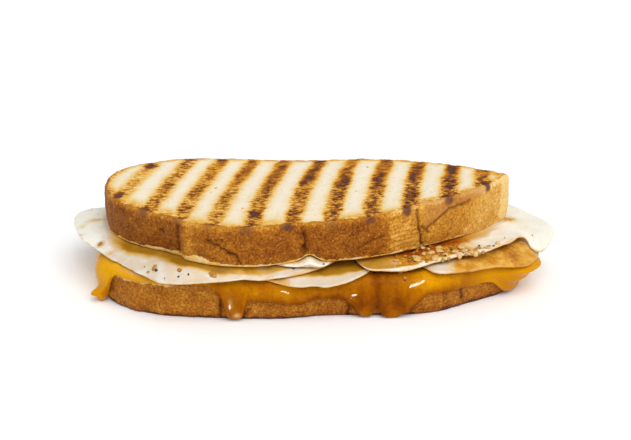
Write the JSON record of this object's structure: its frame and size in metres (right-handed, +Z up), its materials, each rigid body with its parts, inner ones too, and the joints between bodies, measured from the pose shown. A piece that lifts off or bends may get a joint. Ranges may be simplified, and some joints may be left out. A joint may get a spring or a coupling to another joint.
{
  "type": "grilled cheese sandwich",
  "caption": "Grilled sandwich of two domed loaf slices with griddle stripes, melted cheese running over the lower crust and thin folded omelette sheets sticking out.",
  "frame": {"origin": "middle of the underside's bounding box, on the floor plane", "axes": "+X along the slices towards their pointed end, +Y towards the straight base crust, -Y towards the domed crust, +Z up"},
  "size_m": [0.191, 0.0918, 0.0395],
  "materials": {
    "toasted_bread": "dry brown crust around a pale crumb with dark griddle stripes",
    "melted_cheese": "smooth melted cheese, slightly translucent and shiny",
    "omelette": "soft satin cooked egg white",
    "browned_omelette": "cooked egg with browned patches, onion bits and pepper"
  },
  "bodies": {
    "root": {"bread_bottom": "toasted_bread", "bread_top": "toasted_bread", "cheese": "melted_cheese", "egg_middle": "omelette", "egg_left": "omelette", "egg_fold": "omelette", "egg_right": "browned_omelette", "egg_lower_right": "browned_omelette"}
  },
  "joints": []
}
